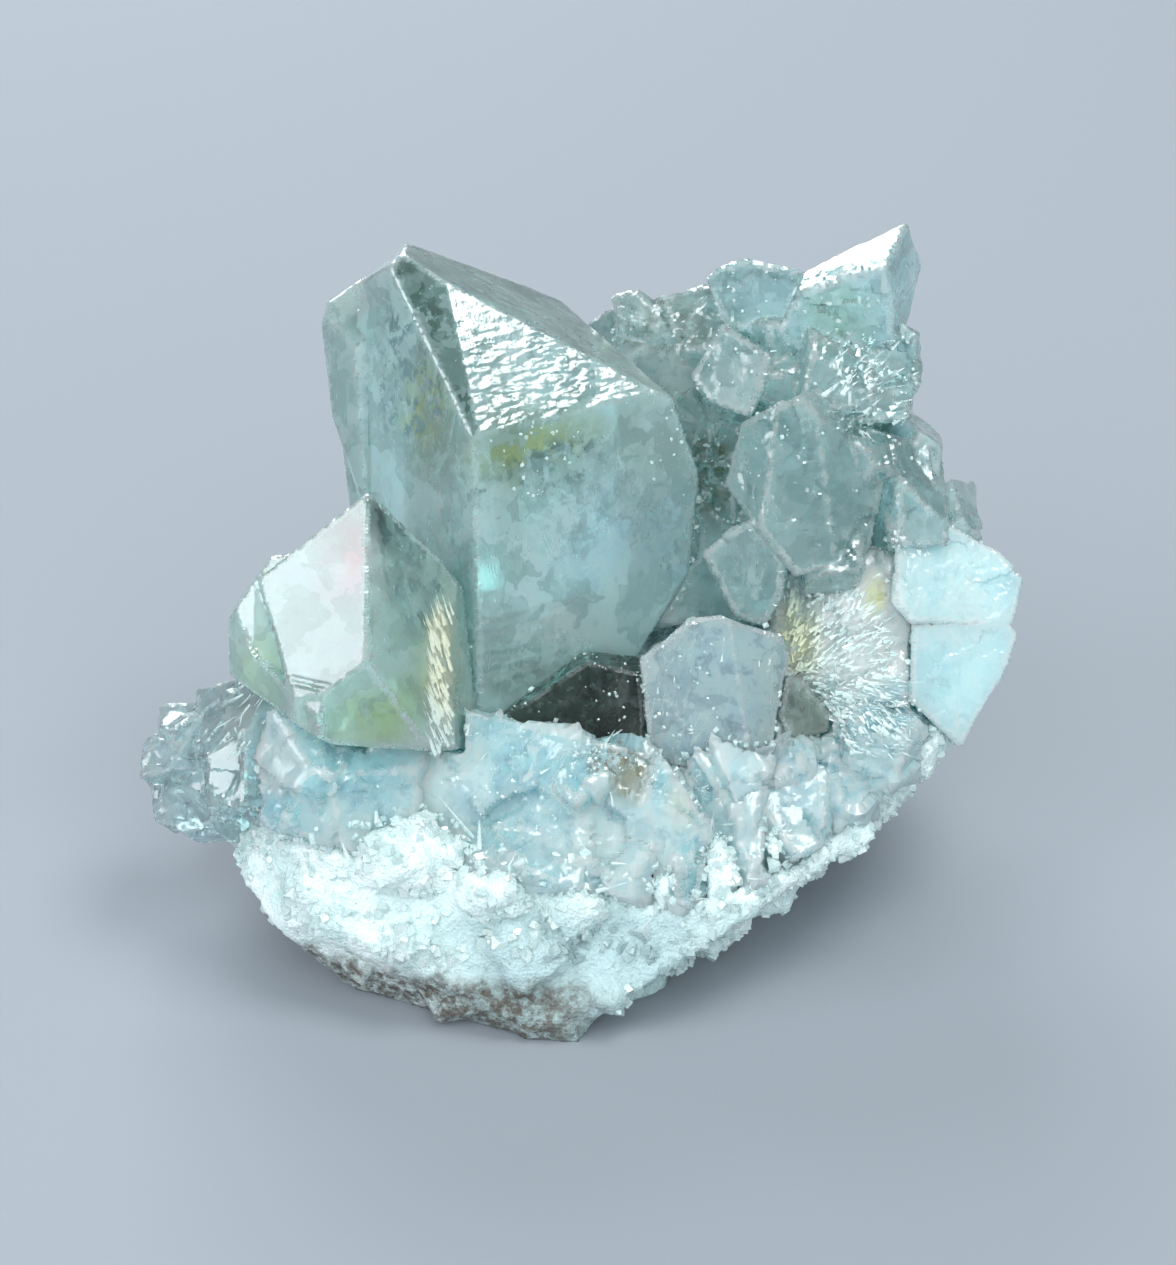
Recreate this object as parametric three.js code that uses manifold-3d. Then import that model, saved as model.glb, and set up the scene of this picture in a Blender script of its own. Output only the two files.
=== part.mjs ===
// A celestine specimen: blocky pale blue-green crystals standing on a broken crystal bed, with a rind
// of white granular matrix under and behind them. Millimetres, +Z up, the front towards -Y. It rests
// on the flat underside of the matrix at z = 0.
//
// Every crystal and broken block is a convex solid, described as a goniometer reads one: a heart, which
// is a point inside it, and its faces as [azimuth, elevation, distance]. The azimuth is the way the face
// looks round the vertical (0 to the front, 90 to the right, 180 to the back), the elevation is how far
// it looks up, both in degrees, and the distance is from the heart to the face.
import * as THREE from 'three';
import { mergeVertices } from 'three/addons/utils/BufferGeometryUtils.js';
import Module from 'manifold-3d';

const wasm = await Module();
wasm.setup();

// ---------------------------------------------------------------- driving dimensions
const GAP = 0.3; // clearance between two pieces that meet
const BLANK = 90; // side of the blank block that each convex solid is cut from
const GRAIN = { count: 120, size: [1.3, 2.9] }; // the lumps of the matrix
const BACK_GRAIN = { count: 45, size: [1.4, 3.2] }; // and those of its back
const RUBBLE = { count: 90, size: [1.5, 3.2] }; // the small broken blocks of the crystal bed
const HOLLOW = { centre: new THREE.Vector3(0.5, -4, 15.5), radius: 6.5 }; // kept free of rubble
const RIM = { from: 4, height: 3.8, slope: 0.5 }; // right of it, the front lumps stay under this line
const SUNK = 0.55; // how deep a lump or block sits in what it grew on, in its own radii
const DRUSE = { count: 26, size: [1.0, 2.0] }; // the small crystals between the right-hand ones
const GOLDEN_RATIO = 0.618;
const SEED = 41;

const CELESTINE = { color: 0xa9c9c8, roughness: 0.12, metalness: 0 };
const SMOKY_CELESTINE = { color: 0x5d6b68, roughness: 0.1, metalness: 0 };
const MASSIVE_CELESTINE = { color: 0xb4d2d3, roughness: 0.35, metalness: 0 };
const GRANULAR_MATRIX = { color: 0xd9e2df, roughness: 0.9, metalness: 0 };

// ---------------------------------------------------------------- helpers
const degrees = THREE.MathUtils.degToRad;

// The unit vector that a face at this azimuth and elevation looks along.
function direction(azimuth, elevation) {
  const a = degrees(azimuth);
  const e = degrees(elevation);
  return new THREE.Vector3(Math.sin(a) * Math.cos(e), -Math.cos(a) * Math.cos(e), Math.sin(e));
}

function solidOf(geometry) {
  geometry.deleteAttribute('normal');
  geometry.deleteAttribute('uv');
  const merged = mergeVertices(geometry);
  const vertProperties = merged.attributes.position.array;
  const triVerts = new Uint32Array(merged.index.array);
  return new wasm.Manifold(new wasm.Mesh({ numProp: 3, vertProperties, triVerts }));
}

function geometryOf(solid) {
  const { numProp, vertProperties, triVerts } = solid.getMesh();
  const corners = [];
  for (let i = 0; i < vertProperties.length; i += numProp) {
    corners.push(vertProperties[i], vertProperties[i + 1], vertProperties[i + 2]);
  }
  const geometry = new THREE.BufferGeometry();
  geometry.setAttribute('position', new THREE.Float32BufferAttribute(corners, 3));
  geometry.setIndex([...triVerts]);
  geometry.computeVertexNormals();
  return geometry;
}

// What lies on the heart's side of every face. grow moves all the faces out.
function convex({ heart, faces }, grow = 0) {
  const centre = new THREE.Vector3(...heart);
  let solid = solidOf(new THREE.BoxGeometry(BLANK, BLANK, BLANK).translate(...heart));
  for (const [azimuth, elevation, distance] of faces) {
    const inward = direction(azimuth, elevation).negate();
    solid = solid.trimByPlane(inward.toArray(), inward.dot(centre) - distance - grow);
  }
  return solid;
}

function union(forms, grow = 0) {
  return forms.map((form) => convex(form, grow)).reduce((all, one) => all.add(one));
}

// The largest body of a solid: cutting sockets into broken rock also frees a few crumbs.
function largestBody(solid) {
  return solid.decompose().sort((a, b) => b.volume() - a.volume())[0];
}

// The point a little under the surface of a convex form, on the ray that leaves its heart this way.
function surfacePoint({ heart, faces }, azimuth, elevation, depth = 0) {
  const ray = direction(azimuth, elevation);
  const reaches = faces.map(([a, e, distance]) => distance / Math.max(direction(a, e).dot(ray), 1e-6));
  return ray.multiplyScalar(Math.min(...reaches) - depth).add(new THREE.Vector3(...heart)).toArray();
}

// A small seeded generator (mulberry32), so that the rubble falls the same way every time.
function generator(seed) {
  let state = seed;
  return () => {
    state = (state + 0x6d2b79f5) | 0;
    let t = Math.imul(state ^ (state >>> 15), 1 | state);
    t = (t + Math.imul(t ^ (t >>> 7), 61 | t)) ^ t;
    return ((t ^ (t >>> 14)) >>> 0) / 4294967296;
  };
}
const random = generator(SEED);
const between = (low, high) => low + (high - low) * random();

// A lump of grain: faces spread evenly over the sphere by the golden angle, each a little in or out.
function lump(heart, size) {
  const sides = 11;
  const turn = between(0, 360);
  const faces = [];
  for (let i = 0; i < sides; i++) {
    const height = 1 - (2 * i + 1) / sides;
    const elevation = THREE.MathUtils.radToDeg(Math.asin(height));
    faces.push([turn + i * 360 * GOLDEN_RATIO, elevation, size * between(0.72, 1.05)]);
  }
  return { heart, faces };
}

// A cleavage block: two faces across each of three directions at right angles, and two bevelled corners.
function block(heart, size, [azimuth, elevation] = [between(0, 360), between(10, 60)]) {
  const faces = [
    [azimuth, elevation, size * between(0.7, 0.9)],
    [azimuth + 180, -elevation, size],
    [azimuth + 90, between(-8, 8), size * between(0.7, 1.2)],
    [azimuth - 90, between(-8, 8), size * between(0.7, 1.2)],
    [azimuth + 180, 90 - elevation, size * between(0.8, 1.1)],
    [azimuth, elevation - 90, size * between(0.8, 1.1)],
    [azimuth + between(30, 55), elevation + 20, size * between(0.85, 1)],
    [azimuth - between(30, 55), elevation - 15, size * between(0.85, 1)],
  ];
  return { heart, faces };
}

// ---------------------------------------------------------------- the large crystal
const LARGE_CRYSTAL = [
  {
    heart: [-3.3, 6, 25.9],
    faces: [
      [28, 12, 5.7], // right prism face, the broad one
      [-51, 8, 7.7], // left prism face
      [-34, 24, 9.8], // narrow bevel between the left face and the top
      [28, 46, 8.6], // bright top face
      [108, 60, 10.7], // crest, falling away to the right
      [142, 54, 13], // crest, falling away behind
      [180, 40, 14.3],
      [123, 14, 9.2],
      [104, -10, 10],
      [93, -37, 10.6],
      [-101, 41, 17.5], // rounded shoulder at the left
      [-105, 49, 17.7],
      [-93, -8, 11.9],
      [129, 0, 9.2], // back prism faces
      [-152, 0, 8.5],
      [0, -90, 15], // root in the bed
    ],
  },
  {
    // thinner crystal grown in parallel behind its left edge
    heart: [-15.8, 11, 30.6],
    faces: [
      [-50, 6, 1.2],
      [-87, -5, 0.4],
      [-81, -17, 0.6],
      [-91, 18, 2.5],
      [-115, 52, 5.7],
      [28, 12, 4],
      [128, 0, 9],
      [-150, 0, 3],
      [-20, 62, 5.5],
      [40, 60, 7.2],
      [170, 40, 7],
      [0, -90, 13],
    ],
  },
];

// ---------------------------------------------------------------- the left crystal and its twin
const LEFT_CRYSTAL = [
  {
    heart: [-14.1, -6, 22.3],
    faces: [
      [-25, 38, 5.4], // bright triangular face
      [60, 24, 4.6], // dark face to the right of its apex
      [99, 30, 6.9],
      [78, 10, 5.8],
      [-12, 2, 6.9], // front, under the bright face
      [9, 1, 6.4],
      [-62, 6, 5.8], // left side
      [-121, 44, 6.5],
      [-93, 1, 7.2],
      [-54, -51, 5.7],
      [160, 30, 5.9],
      [180, 0, 6],
      [-10, -62, 6.2],
    ],
  },
  {
    heart: [-19.8, -7, 22.9],
    faces: [
      [-25, 38, 2.2],
      [-59, 5, 1.6],
      [-44, -5, 2],
      [-101, 33, 2.4],
      [-93, 1, 2],
      [-54, -51, 2.9],
      [170, 20, 3],
      [90, 0, 4],
      [-40, -62, 5.6],
    ],
  },
];

// ---------------------------------------------------------------- the right-hand cluster
const HEXAGON = {
  heart: [10.9, 3, 22.2],
  faces: [
    [-5, 22, 4],
    [-128, 38, 2.3],
    [-145, 49, 2.5],
    [133, 46, 3],
    [89, -7, 1.9],
    [80, -24, 2.1],
    [-39, -62, 2.6],
    [-84, -27, 1.6],
    [178, -10, 6],
  ],
};
const RIDGED_BLOCK = {
  heart: [14.7, 7, 26.4],
  faces: [
    [2, 24, 6.4],
    [-50, 21, 6.6],
    [71, 42, 5.8],
    [35, 24, 5.9],
    [-103, 11, 4.7],
    [-140, 51, 5],
    [137, 53, 5.3],
    [107, 30, 4.9],
    [84, -10, 4.5],
    [38, -58, 5.2],
    [21, -63, 5.1],
    [-75, -37, 3.7],
    [180, -15, 5],
  ],
};
const OVAL = {
  heart: [9.9, 10, 33.1],
  faces: [
    [-18, 38, 3.1],
    [-110, 24, 1.9],
    [126, 46, 2],
    [86, -13, 1.8],
    [79, -26, 2],
    [-46, -62, 1.9],
    [-79, -34, 2],
    [175, -30, 5],
  ],
};
const TOP_CRYSTAL = {
  heart: [11.2, 13.5, 36.9],
  faces: [
    [3, 16, 3.2],
    [-123, 41, 2.6],
    [-154, 58, 2.1],
    [158, 60, 2],
    [91, -1, 2.9],
    [75, -34, 2.5],
    [32, -66, 1.9],
    [-42, -65, 1.9],
    [-87, -24, 2],
    [180, -10, 3.5],
  ],
};
const HORN = {
  heart: [18.3, 12, 37.4],
  faces: [
    [-73, 67, 3.7],
    [-8, 3, 3.7],
    [67, 9, 3],
    [-137, 50, 3],
    [101, 22, 4.4],
    [83, -15, 3],
    [28, -65, 4.6],
    [57, -53, 3],
    [-72, -47, 4.9],
    [-107, 17, 3.9],
    [180, -10, 4],
  ],
};
const PALE_BLOCK = {
  heart: [19.9, 11, 32.2],
  faces: [
    [12, 34, 4],
    [-119, 30, 2.6],
    [123, 45, 3.2],
    [93, 4, 2],
    [82, -16, 1.7],
    [8, -68, 2.3],
    [-76, -45, 4.2],
    [-104, 5, 4.6],
    [180, -10, 5],
  ],
};
// The massive celestine that the right-hand crystals grew from.
const WALL = {
  heart: [12, 11, 25],
  faces: [
    [4, 31, 3.2],
    [180, 6, 5.5],
    [86, -12, 8.8],
    [-95, 5, 12.4],
    [-30, 60, 9.3],
    [-75, 45, 13.2],
    [42, 52, 10.3],
    [75, 20, 9.6],
    [0, 90, 12.5],
    [0, -80, 8],
  ],
};
const EDGE_CRYSTALS = [
  {
    heart: [21.8, 8, 27.4],
    faces: [
      [20, 30, 2.2],
      [-60, 40, 2],
      [110, 50, 2.2],
      [85, -5, 1.6],
      [40, -50, 2.2],
      [-120, 20, 3],
      [180, -10, 4],
    ],
  },
  {
    heart: [24.3, 5, 23.6],
    faces: [
      [10, 20, 1.6],
      [80, 35, 1.5],
      [95, -20, 1.5],
      [30, -60, 1.8],
      [-50, 50, 1.8],
      [-140, 30, 3],
      [180, -20, 4],
    ],
  },
  {
    heart: [21.6, 4, 25.8],
    faces: [
      [0, 25, 1.6],
      [-60, 10, 1.8],
      [60, 50, 1.7],
      [90, 0, 2],
      [20, -60, 2],
      [180, 20, 4],
      [-150, -20, 4],
    ],
  },
];

// ---------------------------------------------------------------- crystals in the front bed
const STRIATED_CRYSTAL = [
  {
    heart: [8.7, -1, 14.9],
    faces: [
      [-6, 22, 5.3],
      [30, 24, 5.6],
      [-130, 39, 4.4],
      [-167, 53, 4.7],
      [150, 51, 4.7],
      [107, 20, 5],
      [86, -11, 3.7],
      [22, -61, 4.3],
      [-45, -57, 4.2],
      [-93, -7, 4],
      [180, 0, 4],
    ],
  },
];
const CLEAR_DARK_CRYSTAL = [
  {
    heart: [0.8, -2.5, 15],
    faces: [
      [0, 44, 2.4],
      [-90, 64, 3.3],
      [90, 80, 3.4],
      [90, 0, 3.2],
      [-90, 0, 7],
      [180, 30, 3],
      [0, -60, 4],
    ],
  },
];
const SMALL_DARK_CRYSTAL = [
  {
    heart: [14.3, -1, 14.1],
    faces: [
      [5, 20, 4.3],
      [-105, 8, 1],
      [-168, 52, 1.6],
      [115, 30, 0.8],
      [90, -3, 1.4],
      [24, -61, 1.2],
      [-85, -24, 0.9],
      [180, 0, 3],
    ],
  },
];

// ---------------------------------------------------------------- crystals at the two edges
const RIGHT_EDGE_PLATES = [
  {
    heart: [24.7, 6, 19.9],
    faces: [
      [16, 40, 5.1],
      [-142, 44, 3.2],
      [136, 47, 2.2],
      [117, 34, 2.5],
      [84, -13, 3.5],
      [-7, -68, 1.9],
      [-80, -40, 2.9],
      [-101, -7, 2.9],
      [180, -20, 4],
    ],
  },
  {
    // their shared root
    heart: [24, 8, 17],
    faces: [
      [10, 30, 3],
      [90, 0, 2],
      [-90, 0, 3],
      [120, 50, 3.4],
      [100, -45, 2.6],
      [0, -60, 3.4],
      [180, 0, 3],
    ],
  },
  {
    heart: [24.7, 3, 14.8],
    faces: [
      [10, 26, 5.4],
      [-179, 53, 2.3],
      [113, 31, 3.9],
      [81, -18, 2.2],
      [75, -28, 2],
      [-72, -45, 2.7],
      [-103, -3, 2],
      [180, -20, 4],
      [0, -80, 5],
    ],
  },
];
const LEFT_EDGE_CRYSTALS = [
  {
    // upper lump
    heart: [-24.5, -3, 12.7],
    faces: [
      [-20, 25, 2.8],
      [-90, 5, 2.8],
      [-75, 48, 2.6],
      [-20, 68, 2.4],
      [175, 45, 2.4],
      [60, 55, 2.8],
      [-50, -25, 3],
      [60, 10, 3.5],
      [150, 30, 3.2],
      [180, -10, 4],
      [-110, -30, 3.2],
      [0, -80, 3.5],
    ],
  },
  {
    // lower lump
    heart: [-24.8, -4, 9.1],
    faces: [
      [-15, 20, 2.8],
      [-70, 20, 2.9],
      [-88, -20, 2.5],
      [-40, -45, 2.3],
      [10, -35, 2.6],
      [0, -85, 2.3],
      [-30, 60, 2.8],
      [70, 0, 4],
      [150, 0, 4],
      [175, 25, 3],
      [-150, 25, 3],
      [130, -40, 4],
    ],
  },
  {
    // block between the lumps and the left crystal
    heart: [-20.8, -6.5, 14.6],
    faces: [
      [-30, 30, 3.4],
      [-75, 50, 2.7],
      [-80, 0, 3],
      [30, 30, 3.2],
      [10, 70, 4],
      [175, 45, 4.2],
      [90, 0, 3],
      [180, 0, 5],
      [-20, -50, 4],
      [0, -80, 4.5],
    ],
  },
];

// ---------------------------------------------------------------- the bed and the matrix
const BED_CORE = {
  heart: [0, 0, 12],
  faces: [
    [0, 90, 2.5],
    [0, 48, 4.2],
    [0, 32, 8.6],
    [-40, 33, 14.5],
    [-85, 30, 18],
    [28, 34, 11],
    [50, 30, 15],
    [70, -10, 21],
    [180, 10, 12.5],
    [-130, 40, 12.5],
  ],
};
// The underside of the crystal bed, where the matrix begins.
const BED_UNDERSIDE = {
  heart: [0, 0, 12],
  faces: [
    [0, -90, 6.5],
    [-14, -50, 11.3],
    [16, -55, 12],
    [-30, -48, 13.2],
    [-70, -38, 17],
    [35, -48, 13.7],
    [62, -40, 15.4],
    [100, -42, 14.8],
    [180, -35, 14],
    [-130, -40, 14],
  ],
};
const BED_BLOCKS = [
  {
    // the broad hump at the front
    heart: [-2.3, -7, 11],
    faces: [
      [-2, 34, 5],
      [-104, 16, 9.3],
      [-168, 52, 6.1],
      [158, 50, 4.1],
      [107, 16, 7.1],
      [39, -56, 6.5],
      [-22, -60, 5],
      [-80, -20, 7.3],
      [180, 0, 8],
    ],
  },
  {
    // yellow-white block beside the hump
    heart: [5.9, -8, 10.9],
    faces: [
      [-8, 30, 4.7],
      [128, 37, 1.6],
      [114, 26, 1.1],
      [99, 5, 1.4],
      [71, -33, 2.4],
      [-49, -53, 1.9],
      [-86, -19, 1],
      [-102, 7, 1.4],
      [180, 0, 5],
    ],
  },
  {
    // under the left crystal
    heart: [-14.5, -8, 11],
    faces: [
      [-15, 14, 6.3],
      [-50, 22, 6.6],
      [25, 20, 5.8],
      [-10, 62, 7.6],
      [40, 60, 6.6],
      [70, 5, 5.5],
      [-15, -30, 6],
      [-70, -40, 5.5],
      [-92, 15, 6.2],
      [180, 0, 6],
      [0, -80, 5],
    ],
  },
  {
    heart: [-19.5, -6, 11],
    faces: [
      [-45, 20, 4.6],
      [-75, 35, 4.2],
      [-80, -25, 4],
      [0, 60, 4.8],
      [10, 5, 5.4],
      [-30, -40, 4.8],
      [180, 48, 4.4],
      [180, 0, 5],
      [90, 0, 4],
      [0, -80, 4],
    ],
  },
  {
    // low middle
    heart: [-3.5, -11, 8],
    faces: [
      [-12, 22, 5.2],
      [20, 45, 5.2],
      [-50, 30, 5.5],
      [60, 20, 5.5],
      [0, -35, 3.6],
      [-70, -20, 5],
      [70, -25, 5],
      [0, 70, 4.3],
      [180, 20, 6],
    ],
  },
  {
    heart: [2.6, -11.5, 7.6],
    faces: [
      [10, 30, 4.8],
      [-40, 20, 4.4],
      [55, 15, 3.4],
      [0, -30, 3],
      [70, -40, 3],
      [-60, -40, 3],
      [0, 70, 4.3],
      [180, 20, 5],
    ],
  },
  {
    // small blue block at the lower right of the hump
    heart: [6.8, -11.3, 8.3],
    faces: [[12, 24, 4], [-70, 10, 2], [75, 10, 1.9], [20, 65, 3.2], [0, -50, 2.8], [180, 0, 4]],
  },
  {
    // pale blocks under the striated crystal
    heart: [10.3, -6.5, 11],
    faces: [
      [0, 28, 5.5],
      [-60, 20, 3.4],
      [70, 10, 2.6],
      [20, 60, 4],
      [10, -40, 4.6],
      [-60, -40, 4],
      [180, 0, 5],
    ],
  },
  {
    heart: [10.6, -8.5, 7.3],
    faces: [
      [20, 20, 6],
      [10, 60, 5.6],
      [-40, 35, 5.2],
      [80, 20, 2.8],
      [10, -40, 4],
      [-80, -10, 2.6],
      [180, 0, 5],
    ],
  },
  {
    // upright pale column under the small dark crystal
    heart: [14.2, -3.6, 9.8],
    faces: [
      [-8, 16, 6.2],
      [50, 20, 4.5],
      [-70, 10, 2.4],
      [95, 0, 2.4],
      [20, 70, 4.6],
      [0, -50, 5],
      [180, 0, 4],
    ],
  },
  {
    // the flank at the right, facing up and forward
    heart: [18, 3, 14],
    faces: [
      [10, 35, 6.6],
      [38, 24, 7.3],
      [-30, 32, 6.3],
      [-75, 12, 6.3],
      [-20, 60, 8.2],
      [75, 30, 8],
      [80, -20, 7],
      [45, -42, 5.6],
      [0, -60, 7],
      [180, 10, 6],
    ],
  },
  {
    heart: [17.5, -1.5, 9.5],
    faces: [
      [15, 30, 7.6],
      [-50, 25, 6.4],
      [60, 20, 5.2],
      [60, -40, 3.6],
      [0, -50, 4.6],
      [0, 75, 6],
      [180, 0, 4],
    ],
  },
  {
    // two more along the right-hand rim
    heart: [19.8, -3.8, 10.5],
    faces: [
      [30, 28, 5],
      [-60, 20, 3.8],
      [85, 10, 4.6],
      [60, -42, 4],
      [0, -45, 3.4],
      [20, 70, 4.2],
      [180, 0, 4],
    ],
  },
  {
    heart: [13.4, -9.3, 8.5],
    faces: [
      [32, 24, 4.2],
      [-50, 15, 3],
      [80, 15, 3],
      [10, 65, 3.9],
      [30, -42, 3],
      [180, 0, 4],
    ],
  },
];
const MATRIX_CORE = {
  heart: [0, 0, 8],
  faces: [
    [0, -90, 8], // the flat that it rests on
    [4, 60, 9.3],
    [0, 90, 7],
    [0, 25, 13.7],
    [-18, 14, 18.7],
    [-40, 22, 19.8],
    [38, 22, 17.2],
    [4, -30, 18.4],
    [-25, -25, 19],
    [-48, -38, 20.6],
    [-80, -42, 17.6],
    [30, -42, 16],
    [52, -45, 12.7],
    [90, -40, 14.6],
    [60, 50, 13.9],
    [85, 20, 23.5],
    [125, 10, 21.5],
    [140, -25, 19.6],
    [172, -8, 16],
    [-140, -25, 17.4],
    [-80, 28, 20],
    [-130, 40, 14.5],
  ],
};
// A rim of matrix under the right-hand edge of the bed.
const MATRIX_RIM = {
  heart: [19, 0, 10],
  faces: [
    [40, 0, 5.2],
    [65, -36, 3.1],
    [10, -50, 5],
    [90, 20, 6.5],
    [0, 75, 5.5],
    [-60, 0, 4],
    [140, -30, 5],
    [180, 0, 6],
  ],
};
// The matrix also climbs the back of the right-hand crystals.
const MATRIX_BACK = {
  heart: [11, 12, 20],
  faces: [
    [178, 4, 5.8],
    [150, 30, 11.5],
    [-150, 30, 12],
    [180, 60, 14.2],
    [-160, -12, 6.2],
    [0, 31, 3.5],
    [-105, 12, 11.5],
    [95, 12, 11.3],
    [100, -35, 12.5],
    [0, -90, 16],
  ],
};

// Lumps scattered over a convex core, on the part of it that looks between two azimuths and elevations.
function scattered(core, { count, size }, [first, last], [lowest, highest], make) {
  const low = Math.sin(degrees(lowest));
  const high = Math.sin(degrees(highest));
  return Array.from({ length: count }, (_, i) => {
    const elevation = Math.asin(low + ((high - low) * (i + 0.5)) / count);
    const azimuth = first + (last - first) * ((i * GOLDEN_RATIO) % 1);
    const radius = between(...size);
    return make(surfacePoint(core, azimuth, THREE.MathUtils.radToDeg(elevation), SUNK * radius), radius);
  });
}

// ---------------------------------------------------------------- the pieces
const group = new THREE.Group();
const UP = [0, 0, 1];

function addPiece(name, solid, finish) {
  const geometry = geometryOf(solid.trimByPlane(UP, 0));
  const mesh = new THREE.Mesh(geometry, new THREE.MeshStandardMaterial(finish));
  mesh.name = name;
  group.add(mesh);
}

const rightCluster = [
  WALL,
  HEXAGON,
  RIDGED_BLOCK,
  OVAL,
  TOP_CRYSTAL,
  HORN,
  PALE_BLOCK,
  ...EDGE_CRYSTALS,
  ...scattered(WALL, DRUSE, [-100, 110], [-20, 60], block),
];

// The crystals grew through one another in this order: each is cut clear of those before it.
const crystals = [
  ['large_crystal', LARGE_CRYSTAL, CELESTINE],
  ['left_crystal', LEFT_CRYSTAL, CELESTINE],
  ['striated_crystal', STRIATED_CRYSTAL, CELESTINE],
  ['small_dark_crystal', SMALL_DARK_CRYSTAL, SMOKY_CELESTINE],
  ['right_edge_plates', RIGHT_EDGE_PLATES, MASSIVE_CELESTINE],
  ['right_crystal_cluster', rightCluster, CELESTINE],
  ['clear_dark_crystal', CLEAR_DARK_CRYSTAL, SMOKY_CELESTINE],
  ['left_edge_crystals', LEFT_EDGE_CRYSTALS, CELESTINE],
];

let sockets = null;
for (const [name, forms, finish] of crystals) {
  const grown = union(forms);
  addPiece(name, largestBody(sockets ? grown.subtract(sockets) : grown), finish);
  const socket = union(forms, GAP);
  sockets = sockets ? sockets.add(socket) : socket;
}

const outsideHollow = ({ heart }) => new THREE.Vector3(...heart).distanceTo(HOLLOW.centre) > HOLLOW.radius;
const rubble = scattered(BED_CORE, RUBBLE, [-180, 180], [-15, 36], block).filter(outsideHollow);
const bedForms = [BED_CORE, ...BED_BLOCKS, ...rubble];
const bed = union(bedForms).intersect(convex(BED_UNDERSIDE));
addPiece('crystal_bed', largestBody(bed.subtract(sockets)), MASSIVE_CELESTINE);
sockets = sockets.add(union(bedForms, GAP).intersect(convex(BED_UNDERSIDE, GAP)));

const rimAt = (x) => RIM.height + RIM.slope * (x - RIM.from);
const underRim = ({ heart: [x, y, z] }) => x < RIM.from || y > 0 || z < rimAt(x);
const matrixForms = [
  MATRIX_CORE,
  MATRIX_RIM,
  MATRIX_BACK,
  ...scattered(MATRIX_CORE, GRAIN, [-180, 180], [-60, 30], lump).filter(underRim),
  ...scattered(MATRIX_BACK, BACK_GRAIN, [95, 265], [-50, 60], lump),
];
addPiece('matrix', largestBody(union(matrixForms).subtract(sockets)), GRANULAR_MATRIX);

// The origin is the middle of the specimen's footprint, on the surface that it rests on.
const box = new THREE.Box3().setFromObject(group, true);
group.position.set(-(box.min.x + box.max.x) / 2, -(box.min.y + box.max.y) / 2, -box.min.z);

export default group;
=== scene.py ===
# %% [markdown]
# # A celestine specimen
#
# Celestine is strontium sulphate. It grows as blocky, glassy crystals of a pale blue-green, on a bed
# of the same mineral that is massive and milky, over a rind of sugary white rock. This notebook takes
# the solids of the specimen, gives each one the skin of the real stone, and lights it like a cabinet
# piece. Everything is in metres; sizes in the text are in millimetres, which suits a hand specimen.

# %% Load the frame
import math
import random

import bmesh
import bpy
from mathutils import Euler, Matrix, Vector, noise
from mathutils.bvhtree import BVHTree


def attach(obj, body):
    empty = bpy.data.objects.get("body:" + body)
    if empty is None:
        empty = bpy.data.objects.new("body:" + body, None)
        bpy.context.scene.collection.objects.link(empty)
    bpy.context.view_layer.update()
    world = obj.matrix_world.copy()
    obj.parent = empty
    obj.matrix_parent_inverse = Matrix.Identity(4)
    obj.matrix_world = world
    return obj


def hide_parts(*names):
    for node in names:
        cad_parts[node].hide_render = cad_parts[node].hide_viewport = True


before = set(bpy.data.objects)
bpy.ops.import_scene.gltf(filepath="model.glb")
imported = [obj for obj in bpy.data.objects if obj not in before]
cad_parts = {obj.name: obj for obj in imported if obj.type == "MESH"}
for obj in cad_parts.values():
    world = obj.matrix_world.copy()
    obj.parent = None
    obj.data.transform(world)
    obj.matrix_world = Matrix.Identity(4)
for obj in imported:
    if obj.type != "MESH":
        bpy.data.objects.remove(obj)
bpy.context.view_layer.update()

MM = 0.001
print("solids:", sorted(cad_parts))

# %% [markdown]
# ## Hand tools
# Three tools turn every solid into a skin. `rough_out` takes a copy of a solid and merges its
# triangles. `fine_skin` rebuilds it as an even skin of small faces, with the Remesh modifier, so that
# it can carry relief. Smooth takes the saw marks off its edges, and Shrinkwrap lays the skin back on
# the flat faces, which leaves the tiny chips that real edges have. `weather` moves each point of the
# skin along its normal by a relief, given in millimetres as a function of the place. Every relief
# includes a small step outward.
#
# The others prepare and finish: `finer` splits the faces on one side, `mark_edges` and `mark_face`
# write values on the skin that its finish reads, and `hand_in` gives the piece its finish, sets it on
# the one body and hides the solid that it stands for.

# %% Select, rough out, remesh and weather


def only(piece):
    bpy.ops.object.select_all(action="DESELECT")
    piece.select_set(True)
    bpy.context.view_layer.objects.active = piece


def apply(piece, kind, **settings):
    only(piece)
    modifier = piece.modifiers.new(kind.title(), kind)
    for key, value in settings.items():
        setattr(modifier, key, value)
    bpy.ops.object.modifier_apply(modifier=modifier.name)


def rough_out(node, name):
    piece = bpy.data.objects.new(name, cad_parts[node].data.copy())
    bpy.context.scene.collection.objects.link(piece)
    piece.data.materials.clear()
    only(piece)
    bpy.ops.object.mode_set(mode="EDIT")
    bpy.ops.mesh.select_all(action="SELECT")
    bpy.ops.mesh.customdata_custom_splitnormals_clear()
    bpy.ops.mesh.remove_doubles(threshold=0.001 * MM)
    bpy.ops.object.mode_set(mode="OBJECT")
    return piece


def fine_skin(piece, voxel, crisp=True):
    solid = bpy.data.objects.new("solid", piece.data.copy())
    bpy.context.scene.collection.objects.link(solid)
    apply(piece, "REMESH", mode="VOXEL", voxel_size=voxel * MM)
    apply(piece, "SMOOTH", factor=0.5, iterations=1)
    if crisp:
        apply(piece, "SHRINKWRAP", target=solid, wrap_method="NEAREST_SURFACEPOINT")
    bpy.data.objects.remove(solid)


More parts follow.
